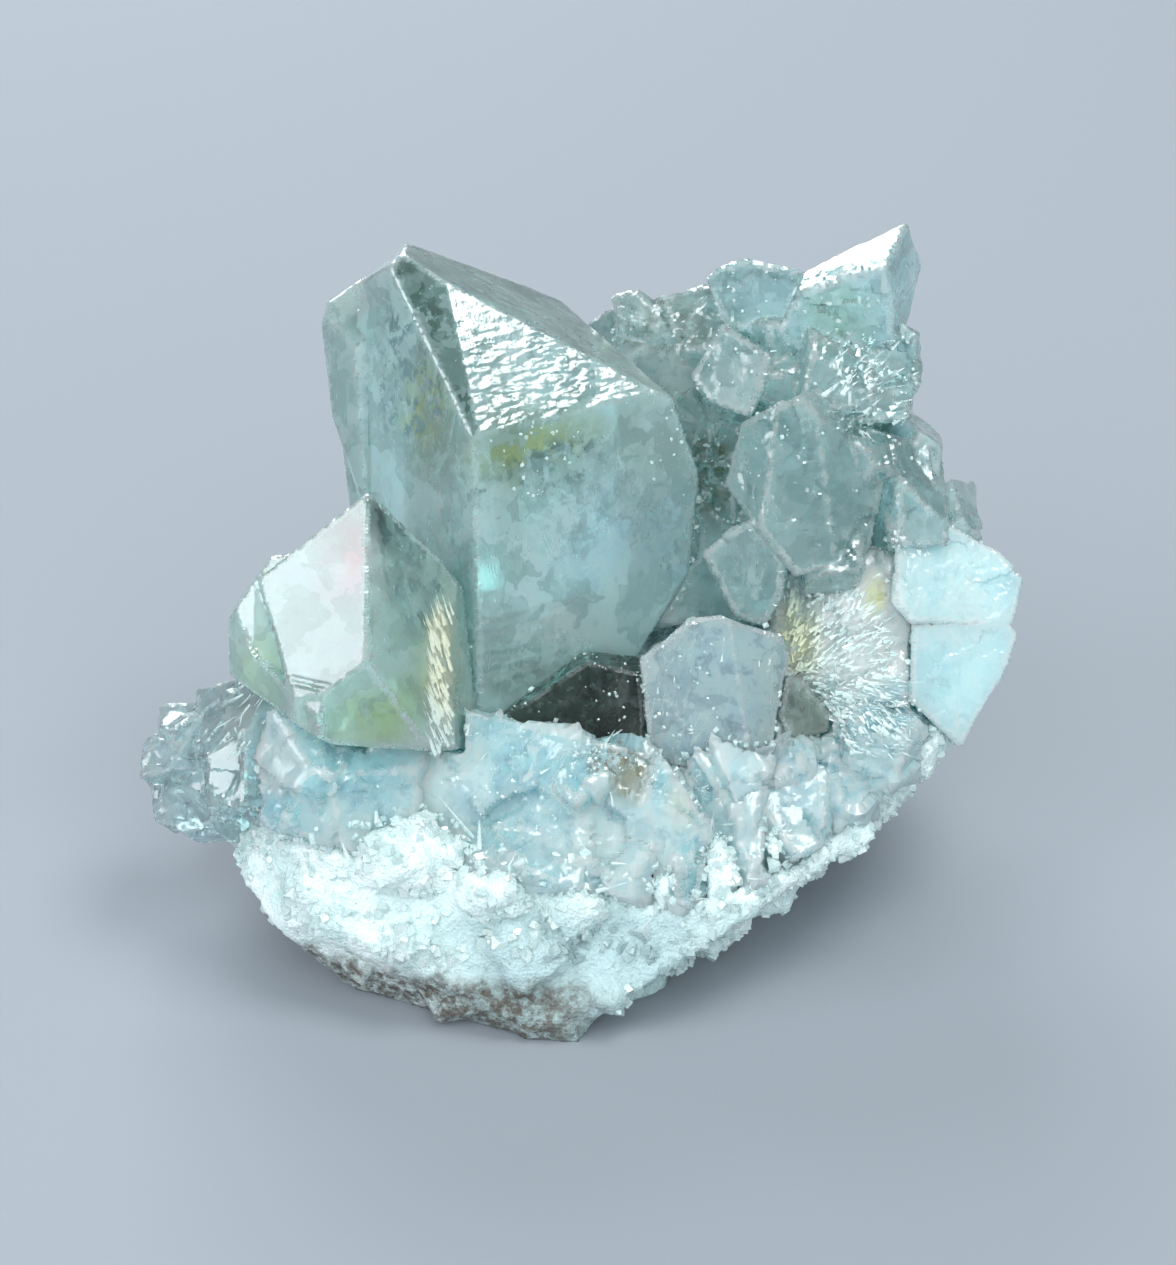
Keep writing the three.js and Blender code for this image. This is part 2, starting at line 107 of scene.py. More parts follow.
def finer(piece, direction):
    """Splits the small faces that look this way in four, for a face whose relief is finer."""
    only(piece)
    bpy.ops.object.mode_set(mode="EDIT")
    bpy.ops.mesh.select_mode(type="FACE")
    bpy.ops.mesh.select_all(action="DESELECT")
    bpy.ops.object.mode_set(mode="OBJECT")
    for face in piece.data.polygons:
        face.select = face.normal.dot(direction) > 0.985
    bpy.ops.object.mode_set(mode="EDIT")
    bpy.ops.mesh.subdivide(number_cuts=1)
    bpy.ops.object.mode_set(mode="OBJECT")


def mark_edges(piece):
    """Writes how sharply the skin turns at and beside each point, where the finish paints wear and a
    highlight.
    """
    skin = bmesh.new()
    skin.from_mesh(piece.data)
    turns = [max((e.calc_face_angle(0.0) for e in v.link_edges), default=0.0) for v in skin.verts]
    skin.verts.index_update()
    turns = [max([turns[v.index]] + [0.8 * turns[e.other_vert(v).index] for e in v.link_edges])
             for v in skin.verts]
    skin.free()
    piece.data.attributes.new("edge", "FLOAT", "POINT").data.foreach_set("value", turns)


def mark_face(piece, name, direction, limit):
    """Writes one on the points of the skin that look this way, and nought elsewhere."""
    looks = [1.0 if v.normal.dot(direction) > limit else 0.0 for v in piece.data.vertices]
    piece.data.attributes.new(name, "FLOAT", "POINT").data.foreach_set("value", looks)


def weather(piece, relief):
    mark_edges(piece)
    mesh = piece.data
    moves = [relief(v.co / MM, v.normal) for v in mesh.vertices]
    shifted = [v.co + v.normal * (d * MM) for v, d in zip(mesh.vertices, moves)]
    for vertex, place in zip(mesh.vertices, shifted):
        vertex.co = place
    mesh.update()


def facing(azimuth, elevation):
    """The direction that a face at this azimuth (0 front, 90 right) and elevation looks."""
    a, e = math.radians(azimuth), math.radians(elevation)
    return Vector((math.sin(a) * math.cos(e), -math.cos(a) * math.cos(e), math.sin(e)))


def hand_in(piece, node, finish, sharp=None):
    """Rides on the one body, stands for its solid, and gets its finish."""
    only(piece)
    if sharp is None:
        bpy.ops.object.shade_smooth()
    else:
        bpy.ops.object.shade_smooth_by_angle(angle=math.radians(sharp))
    piece.data.materials.clear()
    piece.data.materials.append(finish)
    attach(piece, "root")
    if node:
        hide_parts(node)
    triangles = sum(len(p.vertices) - 2 for p in piece.data.polygons)
    print(f"{piece.name}: {triangles} triangles")


# %% [markdown]
# ## Chipped blocks
# Broken celestine is full of small blocks, chips and grains. Each kind is modelled once: a cube with
# its corners cut off by bisecting, or a four-sided cone for a splinter. `scattered` picks places on a
# piece, evenly by area. `sprinkle` copies a shape to each place, turned and sized, into one plain mesh,
# so that thousands of copies are one piece. `studded` joins such copies to a solid before it is skinned.

# %% Model the blocks
SPARKLE = random.Random(5)


def kept_shape(piece):
    shape = ([v.co.copy() for v in piece.data.vertices], [list(f.vertices) for f in piece.data.polygons])
    bpy.data.objects.remove(piece)
    return shape


def chipped_block(cuts, depth=0.42):
    bpy.ops.object.select_all(action="DESELECT")
    bpy.ops.mesh.primitive_cube_add(size=1)
    cube = bpy.context.active_object
    bpy.ops.object.mode_set(mode="EDIT")
    for _ in range(cuts):
        way = Vector([SPARKLE.uniform(-1, 1) for _ in range(3)]).normalized()
        bpy.ops.mesh.select_all(action="SELECT")
        bpy.ops.mesh.bisect(plane_co=way * depth, plane_no=way, use_fill=True, clear_outer=True)
    bpy.ops.object.mode_set(mode="OBJECT")
    return kept_shape(cube)


def splinter():
    bpy.ops.object.select_all(action="DESELECT")
    bpy.ops.mesh.primitive_cone_add(vertices=4, radius1=0.5, depth=1)
    return kept_shape(bpy.context.active_object)


GRAINS = [chipped_block(cuts) for cuts in (2, 3, 4)]
BLOCKS = [chipped_block(cuts, 0.5) for cuts in (3, 4, 5, 6)]
SPLINTERS = [splinter()]
print("faces of a grain:", [len(faces) for _, faces in GRAINS])

# %% Scatter and copy them


def scattered(piece, count, wanted=lambda p, n: True):
    mesh = piece.data
    mesh.calc_loop_triangles()
    triangles = [t for t in mesh.loop_triangles if wanted(t.center / MM, t.normal)]
    places = []
    for t in SPARKLE.choices(triangles, weights=[t.area for t in triangles], k=count):
        a, b, c = [mesh.vertices[i].co for i in t.vertices]
        u, v = sorted((SPARKLE.random(), SPARKLE.random()))
        places.append((a * u + b * (v - u) + c * (1 - v), t.normal.copy()))
    return places


def any_turn(place, normal):
    return Euler([SPARKLE.uniform(0, 6.28) for _ in range(3)]).to_matrix()


def sprinkle(name, places, sizes, sunk=0.15, shapes=GRAINS, turn=any_turn, stretch=(1, 1, 1)):
    """One mesh of many copies of the shapes, each set a little into the place it sits on."""
    points, faces = [], []
    for place, normal in places:
        shape_points, shape_faces = SPARKLE.choice(shapes)
        size = SPARKLE.uniform(*sizes) * MM
        turned = turn(place, normal)
        uneven = Vector([SPARKLE.uniform(0.75, 1.2) * s for s in stretch])
        centre = place - normal * (sunk * size)
        first = len(points)
        points += [centre + turned @ (v * uneven) * size for v in shape_points]
        faces += [[first + i for i in face] for face in shape_faces]
    mesh = bpy.data.meshes.new(name)
    mesh.from_pydata(points, [], faces)
    piece = bpy.data.objects.new(name, mesh)
    bpy.context.scene.collection.objects.link(piece)
    return piece


def near_parallel(base, loose):
    """Turns each copy nearly the same way, as crystals that grew together are."""
    turn = Euler([math.radians(t) for t in base]).to_matrix()

    def give(place, normal):
        return turn @ Euler([SPARKLE.gauss(0, loose) for _ in range(3)]).to_matrix()

    return give


def along(origin, loose=0.3):
    """Lays each copy flat on the surface, with its length pointing away from an origin in mm."""
    def give(place, normal):
        out = place - Vector(origin) * MM
        out = (out - normal * out.dot(normal)).normalized()
        out.rotate(Euler([SPARKLE.gauss(0, loose) for _ in range(3)]))
        side = normal.cross(out).normalized()
        up = out.cross(side).normalized()
        return Matrix((side, up, out)).transposed()

    return give


def studded(piece, places, sizes, **how):
    studs = sprinkle("studs", places, sizes, **how)
    only(piece)
    studs.select_set(True)
    bpy.ops.object.join()


# %% [markdown]
# ## Node tools
# A finish is a small machine of nodes. `Nodes` keeps the wiring short. All patterns read Object
# coordinates, turned into millimetres by a Mapping node, so that a scale of 1 means one feature a
# millimetre, and the pattern runs through the stone as real zoning does.

# %% A short way to wire nodes


class Nodes:
    def __init__(self, name):
        self.material = bpy.data.materials.new(name)
        self.material.use_nodes = True
        self.tree = self.material.node_tree
        self.tree.nodes.clear()
        self.output = self.put("ShaderNodeOutputMaterial")
        self.mm = self.put("ShaderNodeMapping", Vector=self.put("ShaderNodeTexCoord").outputs["Object"])
        self.mm.inputs["Scale"].default_value = (1000, 1000, 1000)

    def put(self, kind, props=(), **inputs):
        node = self.tree.nodes.new(kind)
        for key, value in dict(props).items():
            setattr(node, key, value)
        for key, value in inputs.items():
            self.set(node, key.replace("_", " "), value)
        return node

    def set(self, node, key, value):
        socket = node.inputs[int(key)] if key.isdigit() else node.inputs[key]
        if isinstance(value, bpy.types.NodeSocket):
            self.tree.links.new(value, socket)
        elif isinstance(value, bpy.types.Node):
            self.tree.links.new(value.outputs[0], socket)
        elif isinstance(value, tuple) and len(value) == 3 and socket.type == "RGBA":
            socket.default_value = (*value, 1)
        else:
            socket.default_value = value

    def math(self, operation, a, b=0.0, clamp=False):
        node = self.put("ShaderNodeMath", {"operation": operation, "use_clamp": clamp})
        self.set(node, "0", a)
        self.set(node, "1", b)
        return node.outputs[0]

    def span(self, value, low, high, to_low=0.0, to_high=1.0):
        """Spreads the part of a value between low and high over to_low to to_high, softly."""
        node = self.put("ShaderNodeMapRange", {"interpolation_type": "SMOOTHSTEP"})
        for key, number in (("Value", value), ("From Min", low), ("From Max", high)):
            self.set(node, key, number)
        self.set(node, "To Min", to_low)
        self.set(node, "To Max", to_high)
        return node.outputs[0]

    def blend(self, factor, a, b):
        node = self.put("ShaderNodeMix", {"data_type": "RGBA"})
        self.set(node, "0", factor)
        self.set(node, "6", a)
        self.set(node, "7", b)
        return node.outputs[2]

    def turned(self, turn, scale):
        """Millimetres along turned axes, scaled: a small scale stretches a pattern along that axis."""
        node = self.put("ShaderNodeMapping", {"vector_type": "TEXTURE"}, Vector=self.mm)
        node.inputs["Rotation"].default_value = [math.radians(t) for t in turn]
        node.inputs["Scale"].default_value = [1 / s for s in scale]
        return node

    def noise(self, scale, detail=3.0, rough=0.55, distortion=0.0, along=None):
        node = self.put("ShaderNodeTexNoise", Vector=along or self.mm, Scale=scale, Detail=detail)
        self.set(node, "Roughness", rough)
        self.set(node, "Distortion", distortion)
        return node.outputs[0]

    def cells(self, scale, along=None):
        return self.put("ShaderNodeTexVoronoi", Vector=along or self.mm, Scale=scale)

    def zone(self, centre, radii, edge):
        """One inside an ellipsoid round a place in the stone, falling softly to nought at its edge."""
        node = self.put("ShaderNodeMapping", {"vector_type": "TEXTURE"}, Vector=self.mm)
        node.inputs["Location"].default_value = centre
        node.inputs["Scale"].default_value = radii
        length = self.put("ShaderNodeVectorMath", {"operation": "LENGTH"}, Vector=node)
        return self.span(length.outputs["Value"], edge, 1.0, 1.0, 0.0)


# %% [markdown]
# ## The celestine finish
# Real celestine is clear glass with clouds in it: veils of tiny bubbles, smoky and yellow-green
# zones, and cracks that flash. So the finish mixes transmission, at celestine's index of refraction
# of 1.62, with light that scatters just below the surface, and an absorption tints the deep parts.
# Noise drives the colour and frosts the clouded places; each zone adds its own tint at its place or
# on its face, and a few zones paint shade. White dots are painted glints, and worn edges are painted
# white, partly as wear and partly as a painted highlight. A thin coat keeps the gloss of the faces
# over frosted places, and a bump gives the fine growth marks.

# %% Build a clear to milky celestine
CELESTINE_IOR = 1.62


def worn_edges_and_painted_highlight(n):
    """The marked edges of the skin, broken up as chips are: partly wear, partly a painted highlight."""
    turn = n.put("ShaderNodeAttribute", {"attribute_name": "edge"}).outputs["Fac"]
    return n.math("MULTIPLY", n.span(turn, 0.2, 0.5), n.span(n.noise(1.5, 4, 0.65), 0.38, 0.58, 0.15, 1.0))


def tinted(n, colour, zones, frosted=None):
    """Lays each zone over a colour, soft or in crisp mottles, and its frosting over the frosting."""
    patch = n.noise(0.45, 3, 0.6)
    mottles = n.noise(0.9, 4, 0.68, 0.5)
    for zone in zones:
        if "face" in zone:
            inside = n.put("ShaderNodeAttribute", {"attribute_name": zone["face"]}).outputs["Fac"]
        else:
            inside = n.zone(zone["at"], zone["size"], zone.get("edge", 0.3))
        breaks = n.span(mottles, 0.48, 0.56) if zone.get("crisp") else n.span(patch, 0.3, 0.6, 0.5, 1.0)
        broken = n.math("MULTIPLY", inside, breaks)
        share = n.math("MULTIPLY", broken, zone.get("share", 0.8), clamp=True)
        colour = n.blend(share, colour, zone["colour"])
        if "frost" in zone and frosted is not None:
            node = n.put("ShaderNodeMix", {"data_type": "FLOAT"})
            n.set(node, "0", share)
            n.set(node, "2", frosted)
            n.set(node, "3", zone["frost"])
            frosted = node.outputs[0]
    return colour, frosted


def celestine(name, body, cloud, zones=(), clouding=0.6, mottle=0.5, veils=0.5, painted_glints=0.7,
              frost=(0.04, 0.36), clear=0.78, tint=(0.50, 0.90, 0.88), depth=90.0,
              streak=((0, 0, 0), (1, 1, 0.25)), relief=1.0, edges=0.85, shards=0.4, coat=0.8):
    n = Nodes(name)
    turn, stretch = streak
    grain = n.turned(turn, stretch)
    clouds = n.span(n.noise(0.14, 3, 0.6, 0.5), 0.34, 0.66)
    milk = n.math("MULTIPLY", clouds, clouding)
    colour = n.blend(milk, body, cloud)
    colour, frosted = tinted(n, colour, zones, milk)
    dark = tuple(0.4 * c for c in body)
    spots = n.math("MULTIPLY", n.span(n.noise(0.7, 4, 0.66, 0.4), 0.53, 0.66), mottle)
    colour = n.blend(spots, colour, dark)
    wobble = n.put("ShaderNodeTexNoise", Vector=n.mm, Scale=0.7, Detail=2.0).outputs["Color"]
    bent = n.put("ShaderNodeVectorMath", {"operation": "MULTIPLY_ADD"})
    for key, value in (("0", wobble), ("1", (3.2, 3.2, 3.2)), ("2", n.mm)):
        n.set(bent, key, value)
    shard = n.cells(0.42, along=bent).outputs["Color"]
    splinter_cell = n.cells(1.1, along=bent).outputs["Color"]
    colour = n.blend(n.span(shard, 0.5, 0.62, 0.0, shards), colour, tuple(0.5 * c for c in body))
    colour = n.blend(n.span(splinter_cell, 0.62, 0.7, 0.0, 0.6 * shards), colour, cloud)
    wisps = n.span(n.noise(0.8, 4, 0.7, 1.0, along=grain), 0.5, 0.68)
    veil = n.math("MULTIPLY", wisps, n.span(n.noise(0.3, 3, 0.5), 0.4, 0.6, 0.1, veils))
    colour = n.blend(veil, colour, (0.78, 0.93, 0.94))
    # Painted glints: white dots that stand in for sparkles of light on tiny facets.
    glint_dots = n.span(n.cells(2.3).outputs["Distance"], 0.07, 0.2, 1.0, 0.0)
    painted_glint = n.math("MULTIPLY", glint_dots, n.span(n.noise(0.5, 3, 0.5), 0.5, 0.62, 0.0, painted_glints))
    # Painted highlight: edges are painted white, partly chipped wear and partly light caught on them.
    edge = n.math("MULTIPLY", worn_edges_and_painted_highlight(n), edges)
    colour = n.blend(n.math("MAXIMUM", painted_glint, edge), colour, (0.94, 1.0, 1.0))
    rough = n.math("ADD", n.math("MULTIPLY", frosted, frost[1] - frost[0]), frost[0])
    rough = n.math("ADD", rough, n.math("MULTIPLY", n.math("MAXIMUM", veil, edge), 0.25), clamp=True)
    marks = n.noise(1.5, 3, 0.6, along=grain)
    bump = n.put("ShaderNodeBump", Height=marks, Strength=0.4 * relief, Distance=0.12 * MM)
    shader = n.put("ShaderNodeBsdfPrincipled", Base_Color=colour, Roughness=rough, Normal=bump)
    n.set(shader, "IOR", CELESTINE_IOR)
    n.set(shader, "Transmission Weight", clear)
    n.set(shader, "Subsurface Weight", 0.7)
    n.set(shader, "Subsurface Radius", (0.8, 1.0, 1.0))
    n.set(shader, "Subsurface Scale", 2.0 * MM)
    n.set(shader, "Coat Weight", coat)
    n.set(shader, "Coat Roughness", 0.05)
    n.set(shader, "Coat IOR", CELESTINE_IOR)
    n.set(shader, "Coat Normal", bump)
    depth_tint = n.put("ShaderNodeVolumeAbsorption")
    n.set(depth_tint, "Color", tint)
    n.set(depth_tint, "Density", depth)
    n.tree.links.new(shader.outputs[0], n.output.inputs["Surface"])
    n.tree.links.new(depth_tint.outputs[0], n.output.inputs["Volume"])
    return n.material


# %% [markdown]
# ## The large crystal
# The tallest crystal is a blocky prism under a broad, steep top face, with a thinner crystal grown in
# parallel behind its left edge. Its faces are flat growth surfaces, but none is perfect: the top face
# breaks into small waves towards its foot, and the right-hand face has fine level lines near its root.
# A narrow bevel, cut off with a bisecting plane, runs down between its top and left faces; its facet is
# painted dark, and the crest facet grey, as painted shade. Its skin is remeshed at a fifth of a
# millimetre, and the waves are pushed into it as relief.

# %% Large crystal
TOP_FACE = facing(28, 46)
RIGHT_FACE = facing(28, 12)
BEVEL = facing(-7.4, 43.7)
BEVEL_PLACE = (-8.67, 5.63, 40.86)
CREST = facing(118, 58)
OUTWARD = 0.12


def swell(p, scale, seed=0.0):
    """Smooth noise between -1 and 1, of one feature every 1 / scale millimetres."""
    return noise.noise(p * scale + Vector((seed, -seed, 2 * seed)))


def facets(p, size, tilt, seed):
    """Breaks a surface into flat facets of about this size in mm, each tilted its own way."""
    q = p / size + Vector((seed, 2 * seed, -seed))
    heights = []
    for centre in noise.voronoi(q)[1][:3]:
        lean = 2 * noise.cell_vector(centre * 37.0) - Vector((1, 1, 1))
        heights.append((q - centre).dot(lean))
    return (max(heights) - 0.4) * size * tilt


def large_crystal_relief(p, n):
    """Waves on the top face, larger towards its foot; lines and ripples on the right-hand face."""
    move = 0.03 * swell(p, 0.35, 3) + 0.012 * swell(p, 1.3, 5)
    top = max(0.0, n.dot(TOP_FACE) - 0.9) / 0.1
    if top > 0:
        low = min(max((40.0 - p.z) / 5.0, 0.0), 1.0)
        wave = swell(Vector((p.x * 0.5 - p.z * 0.15, p.y * 1.2, p.z * 2.6)), 1.15, 7)
        wave += 0.5 * swell(Vector((p.x * 0.9, p.y, p.z * 3.5)), 1.9, 9)
        move += top * (0.008 + 0.05 * low) * wave
    right = max(0.0, n.dot(RIGHT_FACE) - 0.95) / 0.05
    if right > 0:
        foot = max(0.0, 1 - abs(p.z - 20) / 4) * max(0.0, 1 - (p.x + 7) / 8)
        move += right * foot * 0.05 * math.sin(p.z * 7 + 2 * swell(p, 0.4))
        below = min(max((33.8 - p.z) / 2, 0.0), 1.0) * max(0.0, 1 - (33.8 - p.z) / 6)
        move += right * below * 0.05 * swell(p, 1.1, 11)
    return move + OUTWARD


def cut(piece, place, direction):
    """Cuts away what lies beyond a plane, and closes the cut with a flat face."""
    only(piece)
    bpy.ops.object.mode_set(mode="EDIT")
    bpy.ops.mesh.select_all(action="SELECT")
    bpy.ops.mesh.bisect(plane_co=Vector(place) * MM, plane_no=direction, use_fill=True, clear_outer=True)
    bpy.ops.object.mode_set(mode="OBJECT")


large_crystal = rough_out("large_crystal", "large_crystal_skin")
cut(large_crystal, BEVEL_PLACE, BEVEL)
fine_skin(large_crystal, 0.2)
finer(large_crystal, TOP_FACE)
weather(large_crystal, large_crystal_relief)
mark_face(large_crystal, "crest", CREST, 0.8)
mark_face(large_crystal, "bevel", BEVEL, 0.992)

YELLOW_GREEN = (0.54, 0.56, 0.18)
OLIVE = (0.38, 0.44, 0.25)
SMOKE_AND_SHADE = (0.22, 0.29, 0.25)
COOL_BLUE = (0.62, 0.82, 0.97)
MILK_AND_PAINTED_LIGHT = (0.92, 0.99, 0.98)

large_crystal_finish = celestine(
    "large crystal celestine",
    body=(0.77, 0.95, 0.94),
    cloud=(0.90, 1.0, 1.0),
    zones=[
        {"at": (4, 2, 23), "size": (9, 9, 9), "colour": COOL_BLUE, "share": 1.0, "frost": 0.8},
        {"at": (5, 4, 31), "size": (5, 7, 6), "colour": (0.72, 0.80, 0.76), "share": 0.7, "frost": 0.6},
        {"at": (-3.6, 0.5, 32.0), "size": (8, 7, 4.2), "colour": OLIVE, "share": 1.3, "edge": 0.0},
        {"at": (-3.6, 0.5, 32.5), "size": (6.5, 6, 2.4), "colour": YELLOW_GREEN, "share": 1.0, "edge": 0.0},
        {"at": (-10.5, 2.5, 34.5), "size": (5, 6, 7), "colour": (0.48, 0.64, 0.54), "share": 1.4},
        {"at": (-9.5, 2.5, 33), "size": (3.4, 4, 5), "colour": YELLOW_GREEN, "share": 0.9},
        {"at": (-11, 3.5, 35.5), "size": (5, 6, 7), "colour": (0.20, 0.32, 0.33), "share": 1.5,
         "crisp": True},
        {"at": (1, 0, 29), "size": (8, 5, 6), "colour": (0.36, 0.48, 0.44), "share": 0.6, "crisp": True},
        {"at": (-3, -2, 19), "size": (6, 5, 4), "colour": (0.30, 0.40, 0.40), "share": 0.5, "crisp": True},
        {"at": (-9, -1, 24), "size": (4, 5, 6), "colour": (0.42, 0.54, 0.52), "share": 0.5, "crisp": True},
        {"at": (-1.8, 0.2, 30.8), "size": (5, 4, 2.2), "colour": (0.14, 0.18, 0.14), "share": 1.3,
         "crisp": True},
        {"at": (-6.8, -1.2, 30.2), "size": (2.6, 3, 1.6), "colour": (0.16, 0.22, 0.2), "share": 0.8,
         "crisp": True},
        # Painted shade: the bevel facet dark and the crest facet grey, for how light falls on their angles.
        {"face": "bevel", "colour": (0.16, 0.22, 0.19), "share": 1.3, "frost": 0.0},
        {"face": "crest", "colour": (0.62, 0.68, 0.62), "share": 0.9, "frost": 0.9},
        # Smoky colour, partly painted shade of the dark hollow at the crystal's foot.
        {"at": (-4.4, -4, 17.9), "size": (3.0, 4, 1.7), "colour": SMOKE_AND_SHADE, "share": 0.75, "frost": 0.0},
        {"at": (-0.8, -1.6, 20.6), "size": (3.4, 4, 2.2), "colour": MILK_AND_PAINTED_LIGHT, "share": 0.7, "frost": 0.9},
        # Milky cloud, partly painted light over the left crystal's shadow on this face.
        {"at": (-8, -2, 25), "size": (2.6, 3, 7), "colour": MILK_AND_PAINTED_LIGHT, "share": 0.5, "frost": 0.6},
        {"at": (4, -1.5, 20.5), "size": (6.5, 6, 6.5), "colour": (0.80, 0.95, 1.0), "share": 1.3,
         "frost": 1.0},
    ],
    clouding=0.7,
    mottle=0.25,
    veils=0.7,
    painted_glints=0.9,
    clear=0.7,
    edges=0.4,
    shards=0.55,
)
hand_in(large_crystal, "large_crystal", large_crystal_finish, sharp=25)

# %% [markdown]
# ## The left crystal
# This crystal carries the brightest face of the specimen: a flat, mirror-smooth kite that tapers to a
# point, with a few level growth steps across its foot. Beside it the crystal is smoky at the top and
# yellow-green lower down. A smaller twin hugs its left side; only the tip of its face is bright, and
# the rest leans away.

# %% Left crystal
KITE_FACE = facing(-25, 38)


def left_crystal_relief(p, n):
    """Growth steps on the foot of the kite; the kite's left part, which is the twin's, leans away."""
    kite = max(0.0, n.dot(KITE_FACE) - 0.95) / 0.05
    move = (0.03 * swell(p, 0.4, 13) + 0.02 * swell(p, 1.4, 17)) * (1 - 0.9 * kite)
    if kite > 0:
        step = max(0.0, 1 - abs(p.z - 22.6) / 0.8)
        move += kite * step * 0.06 * math.sin(p.z * 13)
        if p.x < -19.9 + (27.2 - p.z) * 0.34:
            move -= kite * min(0.28 * (max(0.0, 24.8 - p.z) + max(0.0, p.x + 20.3)), 1.2)
    return move + OUTWARD


left_crystal = rough_out("left_crystal", "left_crystal_skin")
fine_skin(left_crystal, 0.17)
weather(left_crystal, left_crystal_relief)
mark_face(left_crystal, "kite", KITE_FACE, 0.97)

left_crystal_finish = celestine(
    "left crystal celestine",
    body=(0.82, 0.94, 0.86),
    cloud=(0.88, 0.97, 0.92),
    zones=[
        {"at": (-16.3, -10, 26.5), "size": (5, 5, 7), "colour": (0.92, 0.98, 0.98), "share": 0.85,
         "frost": 0.5},
        {"face": "kite", "colour": (0.78, 0.82, 0.87), "share": 1.2, "frost": 0.35},
        {"at": (-14.0, -8.5, 29.2), "size": (4, 4.5, 4.5), "colour": (1.0, 0.62, 0.68), "share": 1.1,
         "edge": 0.0},
        {"at": (-12.0, -6.2, 30.8), "size": (2.4, 3, 3.6), "colour": (0.07, 0.10, 0.10), "share": 1.5},
        {"at": (-10.4, -7.0, 27.0), "size": (3.4, 4, 6), "colour": (0.08, 0.11, 0.12), "share": 1.4,
         "crisp": True},
        {"at": (-10.6, -7, 26.5), "size": (3.4, 4, 6), "colour": (0.36, 0.44, 0.44), "share": 0.9},
        {"at": (-10, -8.5, 20.5), "size": (3.5, 4, 4.5), "colour": (0.76, 0.88, 0.50), "share": 1.0},
        {"at": (-13, -12.5, 20.5), "size": (5, 4, 3), "colour": (0.64, 0.76, 0.34), "share": 0.9},
        {"at": (-8.6, -7.8, 21.3), "size": (1.5, 4.5, 5.5), "colour": (1.0, 1.0, 0.80), "share": 1.6,
         "frost": 1.0},
        {"at": (-20, -10, 21.5), "size": (2.4, 4, 4), "colour": (0.85, 0.97, 0.58), "share": 0.7},
    ],
    clouding=0.6,
    mottle=0.2,
    clear=0.72,
    veils=0.5,
    painted_glints=0.5,
    relief=0.6,
)
hand_in(left_crystal, "left_crystal", left_crystal_finish, sharp=25)

# %% [markdown]
# ## The right-hand crystals
# At the right a wall of crystals grew through one another: a hexagonal face, a ridged block, a smooth
# oval, a top crystal and a sharp horn, with small ones between. They are one solid, so one skin
# covers them all, with broken, sparkling ground in the hollows between the larger faces.

# %% Right-hand cluster


def cluster_relief(p, n):
    rough = min(max(3.0 * swell(p, 0.2, 19), 0.0), 1.0)
    move = 0.03 * swell(p, 0.5, 23) + 0.008 * swell(p, 1.5, 29) + facets(p, 3.2, 0.05, 27)
    return 0.14 + move + rough * (facets(p, 1.6, 0.22, 29) + 0.03 * swell(p, 1.8, 31))


cluster = rough_out("right_crystal_cluster", "right_crystal_cluster_skin")
BETWEEN = [((9.5, 11.0, 34.6), 5.2), ((12.3, 8.6, 35.4), 5.2), ((6.8, 11.6, 34.4), 4.6),
           ((13.4, 6.8, 33.8), 4.4), ((7.4, 9.6, 30.6), 4.0), ((15.8, 5.6, 34.4), 4.4),
           ((18.2, 3.0, 30.0), 4.6), ((20.6, 4.2, 27.4), 4.4), ((15.8, -0.8, 25.0), 3.8),
           ((4.4, 12.0, 35.0), 4.0), ((21.0, 2.0, 25.6), 3.4)]
OUT_OF_THE_WALL = Vector((0, -0.8, 0.6))
for place, size in BETWEEN:
    spot = [(Vector(place) * MM, OUT_OF_THE_WALL)]
    studded(cluster, spot, (size, size), sunk=0.4, shapes=BLOCKS, turn=near_parallel((35, 20, 25), 0.5))
fine_skin(cluster, 0.2)
weather(cluster, cluster_relief)

cluster_finish = celestine(
    "right cluster celestine",
    body=(0.58, 0.80, 0.82),
    cloud=(0.82, 0.96, 0.98),
    zones=[
        {"at": (10.0, 5.5, 34.2), "size": (3.4, 4, 3.6), "colour": (0.80, 0.97, 1.0), "share": 0.9,
         "frost": 0.9},
        {"at": (10.4, 9, 38), "size": (4, 5, 3), "colour": (0.60, 0.76, 0.74), "share": 0.7},
        {"at": (16.5, 8, 38), "size": (4, 5, 3.5), "colour": (0.52, 0.72, 0.60), "share": 0.9},
        {"at": (18.5, 9, 33), "size": (4.5, 5, 3.6), "colour": (0.94, 1.0, 1.0), "share": 1.2,
         "frost": 1.0},
        {"at": (8.2, 6.2, 26.8), "size": (2.8, 4, 4), "colour": (0.26, 0.26, 0.14), "share": 1.3},
        {"at": (10.8, -1.4, 24.8), "size": (3.6, 3, 4), "colour": (0.58, 0.78, 0.82), "share": 0.8,
         "frost": 0.8},
        {"at": (5.5, 12.0, 35.0), "size": (5, 6, 2.4), "colour": (0.42, 0.44, 0.34), "share": 0.9},
        {"at": (18.6, 7, 29.6), "size": (2, 4, 1.6), "colour": (0.36, 0.36, 0.18), "share": 0.7},
    ],
    clouding=0.85,
    mottle=0.3,
    veils=0.9,
    painted_glints=1.0,
    clear=0.74,
)
hand_in(cluster, "right_crystal_cluster", cluster_finish, sharp=25)

# %% [markdown]
# ## The smaller crystals
# The striated crystal is blue with curved lines; two clear, dark ones look down into their own depth,
# and the one in the hollow under the large crystal has a body partly painted dark as shade; rounded,
# lilac-grey ones sit at the left edge, and two pale plates stick out at the right. Each gets the same
# tools with its own relief and colours.

# %% Striated, dark and edge crystals


def striated_relief(p, n):
    curve = p.x + 0.25 * p.z + 0.03 * (p.z - 12) ** 2
    lines = swell(Vector((curve * 2.2, p.y * 0.2, p.z * 0.12)), 1.0, 35)
    return OUTWARD + 0.03 * lines + 0.04 * swell(p, 0.4, 37) + facets(p, 2.6, 0.08, 39)


